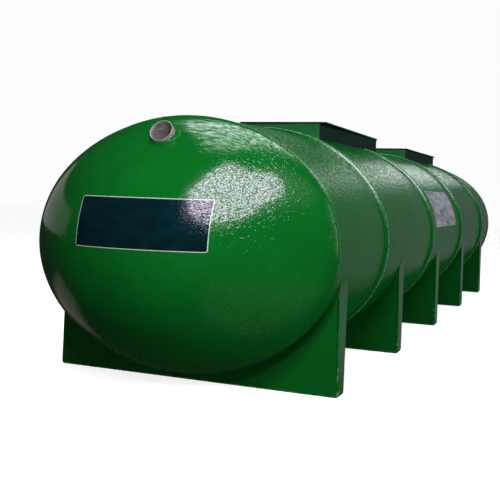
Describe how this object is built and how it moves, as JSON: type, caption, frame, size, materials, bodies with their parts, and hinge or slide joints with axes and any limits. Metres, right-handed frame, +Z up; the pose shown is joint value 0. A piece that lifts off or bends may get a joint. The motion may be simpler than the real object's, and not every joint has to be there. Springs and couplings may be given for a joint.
{
  "type": "biogas digester",
  "caption": "Long oval fibreglass tank with dished ends, raised bands and broad saddles, access chambers on its crown and a short pipe in each end; it digests slurry and holds the gas.",
  "frame": {"origin": "bottom centre of the box round the whole object, on the ground under the middle of the tank", "axes": "+X along the tank from the near dished end to the far one, +Y across it away from the plated side, +Z up"},
  "size_m": [10.843, 2.56, 2.22],
  "materials": {
    "tank_skin": "glossy deep green gelcoat over hand-laid fibreglass, softly rippled",
    "saddle_skin": "the same green gelcoat, a little duller, with chips at the feet",
    "chamber_skin": "green gelcoat on moulded box walls",
    "lid_skin": "dull green moulded cover",
    "pipe_plastic": "grey pipe plastic with a scuffed rim",
    "plate_face": "dark printed plate with a thin pale border and no lettering"
  },
  "bodies": {
    "root": {"barrel_bay_1": "tank_skin", "barrel_bay_2": "tank_skin", "barrel_bay_3": "tank_skin", "barrel_bay_4": "tank_skin", "barrel_bay_5": "tank_skin", "end_plate": "plate_face", "far_dome": "tank_skin", "far_seam_lip": "tank_skin", "front_chamber_far_wall": "chamber_skin", "front_chamber_left_wall": "chamber_skin", "front_chamber_lid": "lid_skin", "front_chamber_near_wall": "chamber_skin", "front_chamber_right_wall": "chamber_skin", "inlet_collar": "tank_skin", "inlet_pipe": "pipe_plastic", "near_dome": "tank_skin", "near_seam_lip": "tank_skin", "outlet_collar": "tank_skin", "outlet_pipe": "pipe_plastic", "rear_chamber_far_wall": "chamber_skin", "rear_chamber_left_wall": "chamber_skin", "rear_chamber_lid": "lid_skin", "rear_chamber_near_wall": "chamber_skin", "rear_chamber_right_wall": "chamber_skin", "rib_1": "tank_skin", "rib_2": "tank_skin", "rib_3": "tank_skin", "rib_4": "tank_skin", "saddle_1": "saddle_skin", "saddle_2": "saddle_skin", "saddle_3": "saddle_skin", "saddle_4": "saddle_skin", "saddle_5": "saddle_skin", "side_plate": "plate_face"}
  },
  "joints": []
}
